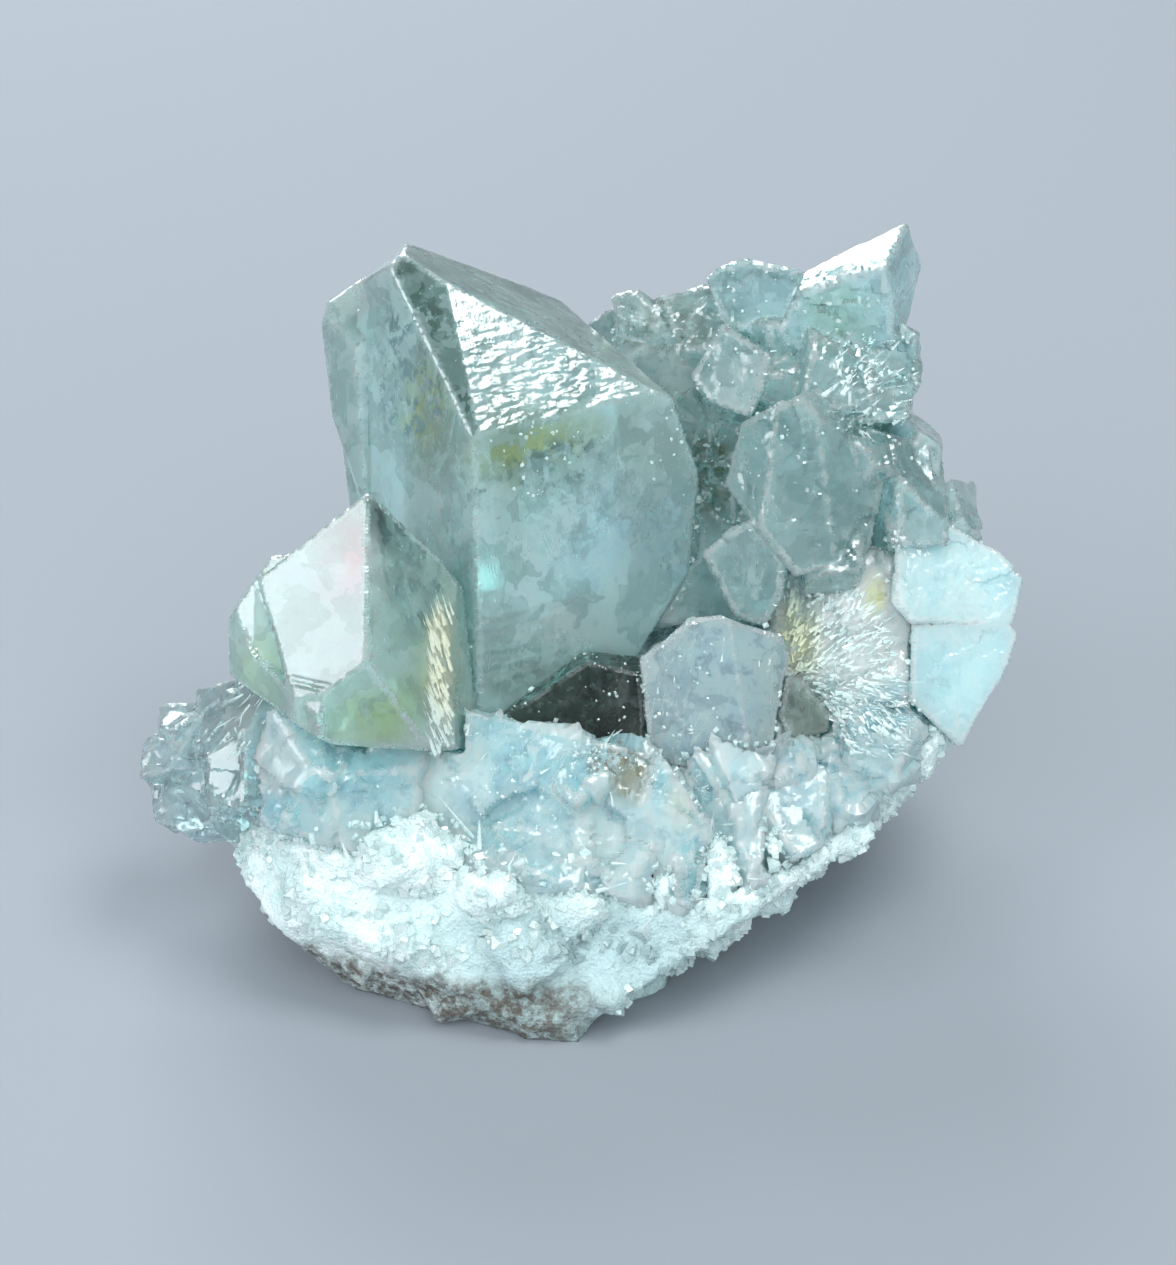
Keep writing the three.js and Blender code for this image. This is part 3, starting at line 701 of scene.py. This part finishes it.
def plain_relief(p, n):
    return OUTWARD + 0.03 * swell(p, 0.5, 41) + 0.008 * swell(p, 1.6, 43)


def lumpy_relief(p, n):
    return 0.1 + 0.10 * swell(p, 0.4, 47) + facets(p, 1.8, 0.12, 53)


def plate_relief(p, n):
    return 0.18 + facets(p, 2.8, 0.07, 59) + 0.035 * swell(p, 2.6, 61)


striated_finish = celestine(
    "striated celestine",
    body=(0.70, 0.88, 0.97),
    cloud=(0.84, 0.97, 1.0),
    zones=[
        {"at": (7.0, -7, 13.5), "size": (3, 4, 4), "colour": (0.50, 0.72, 0.92), "share": 0.7},
        {"at": (11.8, -6, 17), "size": (1.2, 4, 5), "colour": (0.76, 0.92, 0.86), "share": 0.7},
    ],
    clouding=0.7,
    veils=0.9,
    painted_glints=0.9,
    streak=((0, 20, 0), (1.6, 1, 0.22)),
    clear=0.64,
)
# Dark body: partly smoky stone, partly painted shade of the hollow this crystal sits in.
dark_and_shaded_finish = celestine(
    "dark clear celestine",
    body=(0.11, 0.16, 0.13),
    cloud=(0.28, 0.37, 0.32),
    clouding=0.7,
    mottle=0.5,
    veils=0.35,
    painted_glints=1.0,
    frost=(0.0, 0.3),
    clear=0.9,
    tint=(0.5, 0.70, 0.62),
    depth=200.0,
    coat=0.15,
)
small_dark_finish = celestine(
    "small dark clear celestine",
    body=(0.62, 0.76, 0.66),
    cloud=(0.92, 1.0, 0.96),
    zones=[
        {"at": (13.8, -5.5, 17.2), "size": (2, 3, 2.2), "colour": (0.30, 0.36, 0.30), "share": 0.8,
         "crisp": True},
    ],
    clouding=0.7,
    mottle=0.5,
    veils=0.8,
    painted_glints=1.0,
    frost=(0.0, 0.3),
    clear=0.78,
    tint=(0.6, 0.82, 0.76),
    coat=0.5,
)
lilac_finish = celestine(
    "lilac-grey celestine",
    body=(0.82, 0.90, 0.96),
    cloud=(0.90, 0.97, 1.0),
    zones=[
        {"at": (-20.8, -8.5, 17.8), "size": (4, 4, 2.6), "colour": (0.90, 1.0, 1.0), "share": 1.5,
         "frost": 1.0},
        {"at": (-20.6, -11, 14.6), "size": (4, 4, 2.4), "colour": (0.50, 0.68, 0.72), "share": 0.7},
    ],
    clouding=0.7,
    veils=0.8,
    painted_glints=1.0,
)
plate_finish = celestine(
    "pale plate celestine",
    body=(0.60, 0.88, 0.95),
    cloud=(0.80, 0.98, 1.0),
    clouding=0.8,
    mottle=0.25,
    veils=1.0,
    painted_glints=1.0,
    frost=(0.3, 0.6),
    clear=0.4,
    relief=1.5,
    edges=0.5,
    shards=0.1,
)
SMALL_CRYSTALS = [
    ("striated_crystal", 0.13, striated_relief, "clear_celestine", striated_finish),
    ("clear_dark_crystal", 0.13, plain_relief, "smoky_celestine", dark_and_shaded_finish),
    ("small_dark_crystal", 0.1, plain_relief, "smoky_celestine", small_dark_finish),
    ("left_edge_crystals", 0.15, lumpy_relief, "clear_celestine", lilac_finish),
    ("right_edge_plates", 0.13, plate_relief, "massive_celestine", plate_finish),
]
for node, voxel, relief, slot, finish in SMALL_CRYSTALS:
    crystal = rough_out(node, f"{node}_skin")
    if node == "left_edge_crystals":
        lumps = scattered(crystal, 16)
        studded(crystal, lumps, (1.6, 3.4), sunk=0.36, shapes=BLOCKS, turn=near_parallel((0, 15, 30), 0.4))
    fine_skin(crystal, voxel)
    weather(crystal, relief)
    hand_in(crystal, node, finish, sharp=25)

# %% [markdown]
# ## The crystal bed
# The crystals stand on massive celestine that was broken when the specimen was taken out of its
# cavity. Broken celestine shows flat facets, milky depth, and at the right a fan of fibres. The relief
# tilts small cells of the surface, each its own way; at the right they are drawn out along the fan.

# %% Crystal bed


FAN_X, FAN_Z = 13.4, 17.0


def bed_relief(p, n):
    """Facets of two sizes, or the ribs of the fan at the right."""
    move = 0.22 + 0.12 * swell(Vector((p.x + 0.5 * p.z, p.y, 1.5 * p.z)), 0.3, 67)
    fan = math.hypot(p.x - FAN_X, p.z - FAN_Z)
    if p.x > 13 and fan < 8.5 and p.z > 14:
        angle = math.atan2(p.z - FAN_Z, p.x - FAN_X)
        woven = Vector((angle * 6.0, fan * 0.4, p.y * 0.3))
        return move + facets(woven, 0.9, 0.35, 65) + facets(p, 2.4, 0.15, 66)
    return move + facets(p, 4.6, 0.2, 68) + facets(p, 1.9, 0.14, 69) + 0.015 * swell(p, 1.5, 71)


BAND = {"at": (-8.6, -7.8, 21.3), "size": (3, 6, 7), "colour": (1.0, 1.0, 0.78), "share": 1.0}
STAIN = {"at": (13.6, -0.9, 18.9), "size": (2.6, 5, 4), "colour": (1.0, 1.0, 0.74), "share": 1.2,
         "edge": 0.1}
bed = rough_out("crystal_bed", "crystal_bed_skin")
blocks = scattered(bed, 16, lambda p, n: p.z > 9)
studded(bed, blocks, (2.4, 4.6), sunk=0.45, shapes=BLOCKS, turn=near_parallel((35, 25, 30), 0.4))
fine_skin(bed, 0.24)
weather(bed, bed_relief)
bed_finish = celestine(
    "massive celestine",
    body=(0.50, 0.83, 0.93),
    cloud=(0.82, 0.98, 1.0),
    zones=[
        {"at": (17.5, -1, 20), "size": (7, 7, 6.5), "colour": (0.92, 1.0, 0.98), "share": 1.5,
         "frost": 1.0},
        STAIN,
        {"at": (18.8, -0.3, 21.8), "size": (1.2, 3, 1.6), "colour": (0.90, 0.92, 0.50), "share": 1.0},
        {"at": (15.5, -6, 15.5), "size": (3, 4, 2), "colour": (0.60, 0.84, 0.84), "share": 0.9,
         "frost": 0.3},
        {"at": (13, -9, 11.5), "size": (6, 5, 5), "colour": (0.64, 0.86, 1.0), "share": 1.0, "frost": 0.9},
        {"at": (2.0, -11, 15.6), "size": (2.6, 4, 1.7), "colour": (0.28, 0.24, 0.15), "share": 1.2,
         "crisp": True},
        {"at": (3.0, -11, 14.8), "size": (2.0, 4, 2.0), "colour": (0.46, 0.42, 0.28), "share": 1.1},
        {"at": (6.1, -12.6, 13.8), "size": (1.6, 3, 3), "colour": (0.94, 1.0, 0.86), "share": 0.9,
         "frost": 1.0},
        {"at": (-19, -12, 16.5), "size": (3, 4, 3), "colour": (0.88, 1.0, 1.0), "share": 1.4, "frost": 1.0},
        {"at": (-5, -13, 14), "size": (6, 4, 3), "colour": (0.68, 0.90, 0.98), "share": 0.6},
        {"at": (-9, -14, 9.5), "size": (9, 5, 2.5), "colour": (0.95, 1.0, 1.0), "share": 0.8, "frost": 1.0},
    ],
    clouding=0.9,
    mottle=0.35,
    veils=1.0,
    painted_glints=1.0,
    frost=(0.15, 0.6),
    clear=0.5,
    streak=((0, 25, 0), (1.5, 1, 0.3)),
    relief=1.2,
    edges=0.6,
    shards=0.2,
)
hand_in(bed, "crystal_bed", bed_finish, sharp=40)

# %% [markdown]
# ## The matrix
# Under the bed lies the rock that the crystals grew from: white, sugary, and dark grey along its lower
# left edge. Its grain is about half a millimetre. Coarse lumps come from the solid; cell noise
# makes the grain in the relief, which also drifts up a little against the foot of the bed, and
# loose-looking grains are set on top in the next step.

# %% Matrix


FLAT_BELOW = 0.35


def matrix_relief(p, n):
    """Grain everywhere but on the flat underside, and a drift of it against the bed."""
    if p.z < FLAT_BELOW:
        return 0.0
    coarse = noise.voronoi(p * 0.75)[0][0]
    grain = noise.voronoi(p * 2.1)[0][0]
    gap = bed_tree.find_nearest(p * MM, 3 * MM)[3]
    snowy = min(max((7.0 - p.x) / 6.0, 0.1), 1.0)
    drift = 0.0 if gap is None else 0.8 * max(snowy, 0.35) * math.exp(-((gap / MM / 1.2) ** 2))
    return 0.3 + drift - 0.3 * coarse - 0.22 * grain + 0.1 * swell(p, 0.4, 79)


def granular(name):
    n = Nodes(name)
    clouds = n.span(n.noise(0.25, 5, 0.65, 0.4), 0.38, 0.62)
    colour = n.blend(clouds, (0.62, 0.78, 0.78), (0.86, 0.95, 0.96))
    grain = n.cells(2.6)
    tone = n.span(grain.outputs["Color"], 0.2, 0.9, 0.0, 0.35)
    colour = n.blend(tone, colour, (0.84, 0.90, 0.90))
    height_mm = n.put("ShaderNodeSeparateXYZ", Vector=n.mm).outputs["Z"]
    side_mm = n.put("ShaderNodeSeparateXYZ", Vector=n.mm).outputs["X"]
    low = n.span(n.math("ADD", height_mm, n.math("MULTIPLY", n.noise(0.5, 4, 0.6), 4.0)), 5.0, 7.0, 1.0, 0.0)
    left = n.span(side_mm, -3.0, 4.0, 1.0, 0.1)
    patches = n.span(n.noise(1.3, 5, 0.7), 0.35, 0.6, 0.4, 1.0)
    # Darker low down at the left, in patches.
    low_left_dark = n.math("MULTIPLY", n.math("MULTIPLY", low, left), patches)
    greyer = n.math("MULTIPLY", n.span(side_mm, -13.0, -5.0, 0.0, 0.9), n.span(side_mm, 5.0, 11.0, 1.0, 0.25))
    greyer = n.math("MULTIPLY", greyer, n.span(height_mm, 7.4, 9.0, 1.0, 0.1))
    colour = n.blend(greyer, colour, (0.46, 0.60, 0.62))
    colour = n.blend(low_left_dark, colour, (0.115, 0.102, 0.088))
    fleck = n.span(n.noise(1.9, 3, 0.6), 0.64, 0.70, 0.0, 0.55)
    colour = n.blend(fleck, colour, (0.22, 0.27, 0.27))
    height = n.math("ADD", n.noise(3.0, 6, 0.7), n.cells(4.5).outputs["Distance"])
    bump = n.put("ShaderNodeBump", Height=height, Strength=0.8, Distance=0.15 * MM)
    shader = n.put("ShaderNodeBsdfPrincipled", Base_Color=colour, Normal=bump)
    n.set(shader, "Roughness", n.span(n.noise(2.5, 3, 0.6), 0.4, 0.65, 0.35, 0.8))
    n.set(shader, "Subsurface Weight", 0.3)
    n.set(shader, "Subsurface Radius", (0.9, 1.0, 1.0))
    n.set(shader, "Subsurface Scale", 0.6 * MM)
    n.tree.links.new(shader.outputs[0], n.output.inputs["Surface"])
    return n.material


def skin_tree(name):
    return BVHTree.FromObject(bpy.data.objects[f"{name}_skin"], bpy.context.evaluated_depsgraph_get())


bed_tree = skin_tree("crystal_bed")
matrix = rough_out("matrix", "matrix_skin")
fine_skin(matrix, 0.28, crisp=False)
weather(matrix, matrix_relief)
matrix_finish = granular("granular matrix")
hand_in(matrix, "matrix", matrix_finish)

# %% [markdown]
# ## Sugar
# Three kinds of small grain make the specimen sparkle: sugary grains all over the matrix, snow that
# thins out up the foot of the bed, and a fringe of tiny crystals in the seams where one crystal grew
# against another. Smaller glints, on a few places of the faces, are joined to the fringe. All are
# copies of the chipped blocks.

# %% A grain's finish: bright, glassy, a little different from one to the next


def sugar(name, pale, deep, zones=()):
    n = Nodes(name)
    each = n.put("ShaderNodeNewGeometry").outputs["Random Per Island"]
    colour = n.blend(each, pale, deep)
    colour = n.blend(n.span(n.noise(0.35, 4, 0.6), 0.4, 0.62, 0.0, 0.5), colour, (0.62, 0.80, 0.80))
    colour = tinted(n, colour, zones)[0]
    shader = n.put("ShaderNodeBsdfPrincipled", Base_Color=colour)
    n.set(shader, "Roughness", n.span(n.noise(2.0, 2, 0.5), 0.35, 0.65, 0.08, 0.45))
    n.set(shader, "IOR", CELESTINE_IOR)
    n.set(shader, "Transmission Weight", 0.3)
    n.set(shader, "Coat Weight", 0.6)
    n.set(shader, "Coat Roughness", 0.05)
    n.tree.links.new(shader.outputs[0], n.output.inputs["Surface"])
    return n.material


# %% Sprinkle the matrix


def on_white_rock(p, n):
    dark = p.x < 2 and p.z < 5.5 + 2 * swell(p, 0.4, 85)
    return p.z > 1.2 and not dark and swell(p, 0.35, 83) > -0.4


GREYER = {"at": (2, -16.5, 4.6), "size": (10, 8, 4.8), "colour": (0.44, 0.57, 0.59), "share": 1.2}
white_sugar = sugar("sugar", (0.92, 0.98, 0.98), (0.66, 0.80, 0.80), [GREYER])
sugar_grains = sprinkle("sugar_grains", scattered(matrix, 7500, on_white_rock), (0.3, 0.7))
hand_in(sugar_grains, None, white_sugar, sharp=10)

# %% Fringe the seams with tiny crystals


def seam_places(ground, others, reach, count):
    """Points of the ground that are close to another crystal, but not covered by it."""
    spots = []
    for vertex in ground.data.vertices:
        for tree in others:
            near = tree.find_nearest(vertex.co, reach)
            if near[0] is not None:
                break
        else:
            continue
        start = vertex.co + vertex.normal * (0.3 * MM)
        if all(tree.ray_cast(start, vertex.normal, 1.5 * MM)[0] is None for tree in others):
            spots.append((vertex.co.copy(), vertex.normal.copy()))
    return SPARKLE.sample(spots, min(count, len(spots)))


def snowed_places(ground, rock, count, spread):
    """Places on the ground that thin out with the distance from the rock below it, faster at the right."""
    spots = []
    for face in ground.data.polygons:
        near = rock.find_nearest(face.center, 4 * spread * MM)[3]
        if near is not None:
            reach = spread * min(max((12.0 - face.center.x / MM) / 8.0, 0.35), 1.0)
            spots.append((face.center.copy(), face.normal.copy(), math.exp(-((near / MM / reach) ** 2))))
    chosen = SPARKLE.choices(spots, weights=[spot[2] for spot in spots], k=count)
    return [(place, normal) for place, normal, _ in chosen]


TREES = {name: skin_tree(name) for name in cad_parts}
snow = snowed_places(bed, TREES["matrix"], 2600, 1.1)
snow_grains = sprinkle("snow_grains", snow, (0.25, 0.6))
snow_finish = sugar("snow", (0.82, 0.92, 0.92), (0.66, 0.82, 0.83))
hand_in(snow_grains, None, snow_finish, sharp=10)

SEAMS = [("crystal_bed", 0.5, 2200), ("right_crystal_cluster", 0.5, 1100), ("matrix", 0.5, 700),
         ("clear_dark_crystal", 0.45, 350), ("striated_crystal", 0.4, 350), ("large_crystal", 0.4, 250),
         ("right_edge_plates", 0.5, 350)]
GLINTS = [("large_crystal", (7.5, 3, 30), 3.5, 10), ("large_crystal", (-3.5, 0.5, 32), 3.4, 40),
          ("clear_dark_crystal", (0.5, -5.5, 16.5), 6, 90), ("striated_crystal", (5, -6.5, 17), 4, 50),
          ("crystal_bed", (0.9, -11, 16), 1.8, 50), ("crystal_bed", (-4, -11, 15.5), 5, 50),
          ("right_crystal_cluster", (8.5, 6, 27), 4, 90), ("right_crystal_cluster", (13, 5, 33), 9, 150)]
fringe = []
for name, reach, count in SEAMS:
    neighbours = [tree for other, tree in TREES.items() if other != name]
    fringe += seam_places(bpy.data.objects[f"{name}_skin"], neighbours, reach * MM, count)
glint_places = []
for name, heart, reach, count in GLINTS:
    skin = bpy.data.objects[f"{name}_skin"]
    glint_places += scattered(skin, count, lambda p, n: n.y < 0.2 and (p - Vector(heart)).length < reach)
glints = sprinkle("glints", glint_places, (0.08, 0.22), sunk=0.1)
seam_crystals = sprinkle("seam_crystals", fringe, (0.14, 0.38), sunk=0.0)
only(seam_crystals)
glints.select_set(True)
bpy.ops.object.join()
fringe_finish = sugar("fringe", (0.98, 1.0, 1.0), (0.60, 0.74, 0.72))
hand_in(seam_crystals, None, fringe_finish, sharp=10)

# %% [markdown]
# ## Splinters
# The white flank at the right is a fan of fibres, and slivers of clean white cleavage lie on the bed
# and on the striated crystal. A strip of them runs down the right side of the left crystal, two blades
# make a V on the hump of the bed, and streaks lie on the left-edge crystals and on a pale block of
# the cluster. A splinter is a four-sided cone, flattened as it is copied; `along` lays each one on the
# skin, with its length away from the root of its fan. All of them are joined into one piece.

# %% Lay the splinters
FLANK_X, FLANK_Z = 12.6, 16.4
FLANK_ROOT = (12.6, -1.5, 15.8)
BAND_FACE = facing(60, 24)
BAND_X = -9.1
BLADES = [(-7.7, -13.2, 12.7), (-6.4, -13.6, 12.6)]
BLADES_FOOT = (-6.2, -14.6, 11.4)
LEFT_EDGE = Vector((-21.2, -8.6, 17.8))
PALE_BLOCK = Vector((18.2, 6.0, 33.0))


def on_flank(p, n):
    return p.x > 13.0 and 1.0 < math.hypot(p.x - FLANK_X, p.z - FLANK_Z) < 8 and p.z > 15.5 and n.y < 0.1


def on_hump(p, n):
    return -21 < p.x < 14 and p.z > 8.5 and n.y < 0.1


def on_yellow_band(p, n):
    return n.dot(BAND_FACE) > 0.96 and 18 < p.z < 24.5 and abs(p.x - BAND_X) < 0.65


def on_left_edge(p, n):
    return (p - LEFT_EDGE).length < 3.0 and n.y < 0.1


def on_pale_block(p, n):
    return (p - PALE_BLOCK).length < 3.4 and n.y < 0.1


left_edge = bpy.data.objects["left_edge_crystals_skin"]
striated = bpy.data.objects["striated_crystal_skin"]
fans = sprinkle("fibres", scattered(bed, 1500, on_flank), (0.12, 0.26), sunk=0.1, shapes=SPLINTERS,
                turn=along(FLANK_ROOT, 0.2), stretch=(1.2, 0.35, 6))
slivers = sprinkle("slivers", scattered(bed, 110, on_hump), (0.25, 0.5), sunk=0.12, shapes=SPLINTERS,
                   turn=along((-12, -10, 2), 0.25), stretch=(0.7, 0.4, 5))
striae = sprinkle("striae", scattered(striated, 90), (0.12, 0.25), sunk=0.2, shapes=SPLINTERS,
                  turn=along((6, -5, 0), 0.06), stretch=(0.6, 0.4, 9))
band = sprinkle("band", scattered(left_crystal, 170, on_yellow_band), (0.2, 0.34), sunk=0.05,
                shapes=SPLINTERS, turn=along((-8.6, -11, -30), 0.015), stretch=(1.2, 0.2, 8))
blade_places = [TREES["crystal_bed"].find_nearest(Vector(middle) * MM)[:2] for middle in BLADES]
blades = sprinkle("blades", blade_places, (0.5, 0.55), sunk=-0.6, shapes=SPLINTERS,
                  turn=along(BLADES_FOOT, 0.0), stretch=(0.7, 0.6, 7.5))

streaks = sprinkle("streaks", scattered(left_edge, 50, on_left_edge), (0.16, 0.3), sunk=0.05,
                   shapes=SPLINTERS, turn=along((-15, -4, 21), 0.12), stretch=(0.9, 0.4, 6))
white_streaks = sprinkle("white_streaks", scattered(cluster, 150, on_pale_block), (0.16, 0.3), sunk=0.1,
                         shapes=SPLINTERS, turn=along((13, 6, 29), 0.1), stretch=(1.3, 0.3, 5))
only(fans)
for lot in (slivers, striae, band, blades, streaks, white_streaks):
    lot.select_set(True)
bpy.ops.object.join()
fibre_finish = sugar("fibre", (0.95, 1.0, 1.0), (0.80, 0.93, 0.92), [STAIN, BAND])
hand_in(fans, None, fibre_finish, sharp=10)

# %% [markdown]
# ## Light, floor and camera
# A cabinet piece is shown on a plain ground. Two soft boxes make the sheen: one stands where the
# bright kite of the left crystal mirrors it, the other where the large crystal's top face does. A
# broad one in front and a low one at the left lift the broken bed, and are hidden from reflections so
# that they add no sheen. One behind shines through the clear stone, and a dim sky fills the rest.

# %% Floor
GROUND = (0.30, 0.32, 0.36, 1)
bpy.ops.object.select_all(action="DESELECT")
bpy.ops.mesh.primitive_plane_add(size=4, location=(0, 1.0, 0))
floor = bpy.context.active_object
floor.name = "floor"
paper = bpy.data.materials.new("pale ground")
paper.use_nodes = True
paper_shader = paper.node_tree.nodes["Principled BSDF"]
paper_shader.inputs["Base Color"].default_value = GROUND
paper_shader.inputs["Roughness"].default_value = 0.9
floor.data.materials.append(paper)

# %% Lights
LIGHT_AIM = Vector((0.0003, -0.0011, 0.0194))
SKY = (0.50, 0.56, 0.64, 1)


def soft_box(name, towards, distance, size, watts, colour=(1, 1, 1), mirrored=True):
    """An area light; one that isn't mirrored lights the stone without a sheen on its faces."""
    data = bpy.data.lights.new(name, "AREA")
    data.size = size
    data.energy = watts
    data.color = colour
    lamp = bpy.data.objects.new(name, data)
    lamp.location = LIGHT_AIM + Vector(towards).normalized() * distance
    lamp.rotation_mode = "QUATERNION"
    lamp.rotation_quaternion = Vector(towards).to_track_quat("Z", "Y")
    lamp.visible_glossy = mirrored
    bpy.context.scene.collection.objects.link(lamp)


soft_box("left soft box", (-0.767, -0.43, 0.53), 0.5, 0.28, 1.05, (0.95, 0.98, 1.0))
soft_box("top soft box", (0.357, -0.112, 0.926), 0.5, 0.2, 1.15, (0.96, 1.0, 0.98))
soft_box("front soft box", (0.2, -0.78, 0.55), 0.8, 1.0, 6.9, (0.88, 1.0, 0.99), mirrored=False)
soft_box("low soft box", (-0.5, -0.85, 0.15), 0.6, 0.5, 1.0, (0.90, 0.99, 1.0), mirrored=False)
soft_box("back soft box", (-0.25, 0.85, 0.5), 0.6, 0.4, 3.2, (0.92, 1.0, 1.0))
sky = bpy.data.worlds.new("studio air")
sky.use_nodes = True
sky.node_tree.nodes["Background"].inputs["Color"].default_value = SKY
sky.node_tree.nodes["Background"].inputs["Strength"].default_value = 0.4
bpy.context.scene.world = sky

# %% Camera
CAMERA_PLACE = Vector((0.000296, -0.200331, 0.1344))
CAMERA_AIM = Vector((0.000296, -0.001145, 0.0194))
camera_data = bpy.data.cameras.new("camera")
camera_data.lens = 101.45
camera_data.sensor_width = 36
camera = bpy.data.objects.new("camera", camera_data)
camera.location = CAMERA_PLACE
camera.rotation_mode = "QUATERNION"
camera.rotation_quaternion = (CAMERA_AIM - camera.location).to_track_quat("-Z", "Y")
bpy.context.scene.collection.objects.link(camera)
bpy.context.scene.camera = camera
bpy.context.scene.view_settings.view_transform = "Standard"
